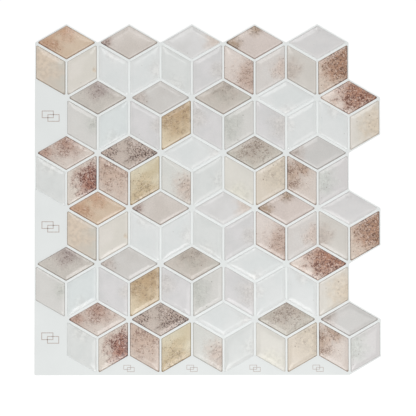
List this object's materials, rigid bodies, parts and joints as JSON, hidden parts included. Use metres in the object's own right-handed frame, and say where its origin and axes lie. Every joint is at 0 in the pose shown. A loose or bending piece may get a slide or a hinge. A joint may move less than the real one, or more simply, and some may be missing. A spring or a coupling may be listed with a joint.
{
  "type": "peel and stick backsplash tile",
  "caption": "Self-adhesive wall tile sheet: domed gel rhombi in a marble tumbling-block cube pattern on a die-cut film that interlocks, with bare overlap flaps.",
  "frame": {"origin": "middle of the sheet's outline, on the underside of the release liner", "axes": "+X to the right of the face, +Y up the wall when the sheet is in use, +Z out of the face"},
  "size_m": [0.3004, 0.3047, 0.0022],
  "materials": {
    "gel_drops": "gloss",
    "film_vinyl": "satin",
    "liner_paper": "matte"
  },
  "bodies": {
    "root": {"release_liner": "liner_paper", "printed_film": "film_vinyl", "cube_row1_col1": "gel_drops", "cube_row1_col2": "gel_drops", "cube_row1_col3": "gel_drops", "cube_row1_col4": "gel_drops", "cube_row1_col5": "gel_drops", "cube_row2_col1": "gel_drops", "cube_row2_col2": "gel_drops", "cube_row2_col3": "gel_drops", "cube_row2_col4": "gel_drops", "cube_row2_col5": "gel_drops", "cube_row3_col1": "gel_drops", "cube_row3_col2": "gel_drops", "cube_row3_col3": "gel_drops", "cube_row3_col4": "gel_drops", "cube_row3_col5": "gel_drops", "cube_row4_col1": "gel_drops", "cube_row4_col2": "gel_drops", "cube_row4_col3": "gel_drops", "cube_row4_col4": "gel_drops", "cube_row4_col5": "gel_drops", "cube_row5_col1": "gel_drops", "cube_row5_col2": "gel_drops", "cube_row5_col3": "gel_drops", "cube_row5_col4": "gel_drops", "cube_row5_col5": "gel_drops", "cube_row6_col1": "gel_drops", "cube_row6_col2": "gel_drops", "cube_row6_col3": "gel_drops", "cube_row6_col4": "gel_drops", "cube_row6_col5": "gel_drops"}
  },
  "joints": []
}
